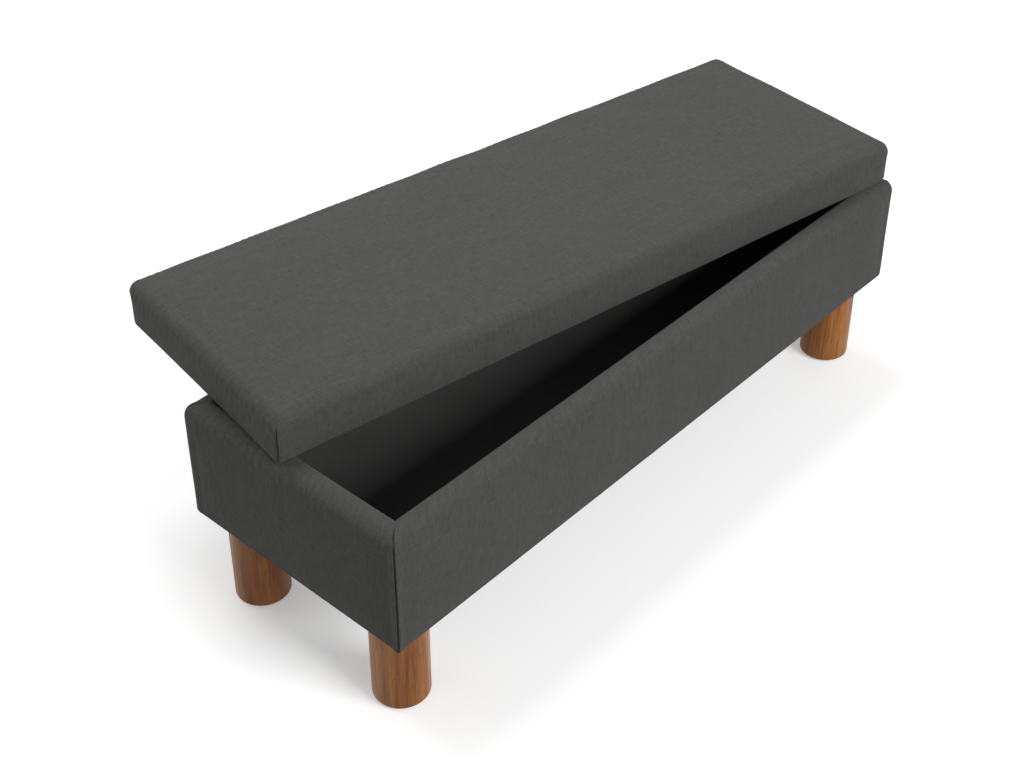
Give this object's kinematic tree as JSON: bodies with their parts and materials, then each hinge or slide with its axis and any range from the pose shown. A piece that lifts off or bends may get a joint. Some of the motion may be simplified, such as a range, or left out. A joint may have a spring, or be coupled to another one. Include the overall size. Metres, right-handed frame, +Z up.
{
  "type": "storage bench",
  "caption": "Long upholstered storage bench: an open padded box on round wooden legs, with a loose padded lid lying askew on its rim.",
  "frame": {"origin": "on the floor, at the middle of the four feet and so under the middle of the box", "axes": "+X along the bench, to the right as seen from the front; -Y towards the front, the side that the open compartment shows at; +Z up"},
  "size_m": [1.2612, 0.6331, 0.4262],
  "materials": {
    "cover_cloth": "matte",
    "lining_cloth": "matte",
    "dust_cloth": "matte",
    "foam": "matte",
    "wadding": "matte",
    "board": "matte",
    "carcass_wood": "matte",
    "leg_wood": "satin",
    "steel": "satin",
    "glide_plastic": "matte",
    "bumper_rubber": "matte"
  },
  "bodies": {
    "base": {"front_panel": "board", "back_panel": "board", "left_panel": "board", "right_panel": "board", "floor_panel": "board", "front_bearer": "carcass_wood", "back_bearer": "carcass_wood", "left_bearer": "carcass_wood", "right_bearer": "carcass_wood", "middle_bearer": "carcass_wood", "front_left_leg_block": "carcass_wood", "front_right_leg_block": "carcass_wood", "back_left_leg_block": "carcass_wood", "back_right_leg_block": "carcass_wood", "front_left_leg": "leg_wood", "front_right_leg": "leg_wood", "back_left_leg": "leg_wood", "back_right_leg": "leg_wood", "foot_glides": "glide_plastic", "hanger_bolts": "steel", "tee_nuts": "steel", "carcass_screws": "steel", "floor_screws": "steel", "front_foam": "foam", "back_foam": "foam", "left_foam": "foam", "right_foam": "foam", "front_cover": "cover_cloth", "back_cover": "cover_cloth", "left_cover": "cover_cloth", "right_cover": "cover_cloth", "front_lining": "lining_cloth", "back_lining": "lining_cloth", "left_lining": "lining_cloth", "right_lining": "lining_cloth", "floor_lining": "lining_cloth", "dust_cloth": "dust_cloth", "underside_staples": "steel"},
    "lid_carrier": {"corner_bumper": "bumper_rubber"},
    "lid": {"lid_panel": "board", "lid_foam": "foam", "lid_wadding": "wadding", "lid_cover": "cover_cloth", "lid_dust_cloth": "dust_cloth", "lid_bumpers": "bumper_rubber", "lid_staples": "steel"}
  },
  "joints": [
    {"name": "lid_turn", "type": "hinge", "parent": "base", "child": "lid_carrier", "pos_m": [0.656, -0.1415, 0.3551], "axis": [0, 0, 1], "range_deg": [-5, 10.05]},
    {"name": "lid_lift", "type": "slide", "parent": "lid_carrier", "child": "lid", "axis": [0, 0, 1], "range_m": [0, 0.3]}
  ]
}
